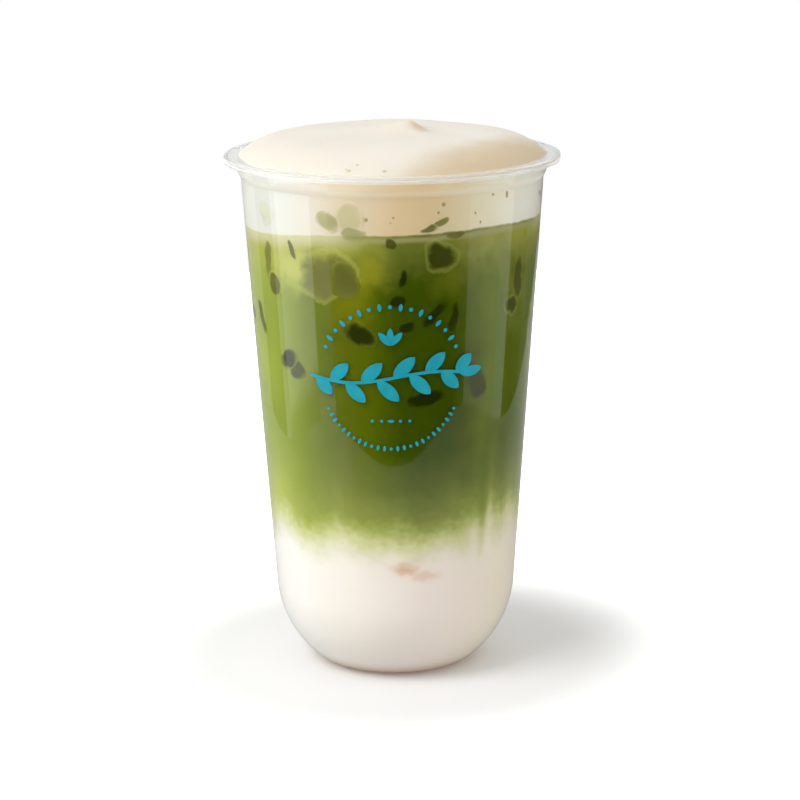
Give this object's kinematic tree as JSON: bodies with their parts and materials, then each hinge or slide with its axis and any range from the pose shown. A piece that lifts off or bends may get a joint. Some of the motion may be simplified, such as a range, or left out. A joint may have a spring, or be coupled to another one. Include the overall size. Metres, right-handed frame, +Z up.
{
  "type": "matcha latte",
  "caption": "Iced matcha latte in a clear round-bottomed plastic cup: milk below, green tea in the middle and a domed cap of milk foam above the rim.",
  "frame": {"origin": "on the cup's axis, at the plane that the foot ring stands on", "axes": "+Z up along the cup's axis; the printed side of the cup faces -Y and +X is to its right"},
  "size_m": [0.095, 0.095, 0.1567],
  "materials": {
    "clear_plastic": "glossy, clear",
    "milk": "wet, smooth",
    "matcha": "wet, smooth, cloudy",
    "foam": "soft sheen, fine bubbles"
  },
  "bodies": {
    "root": {"cup": "clear_plastic", "milk": "milk", "matcha": "matcha", "foam": "foam"}
  },
  "joints": []
}
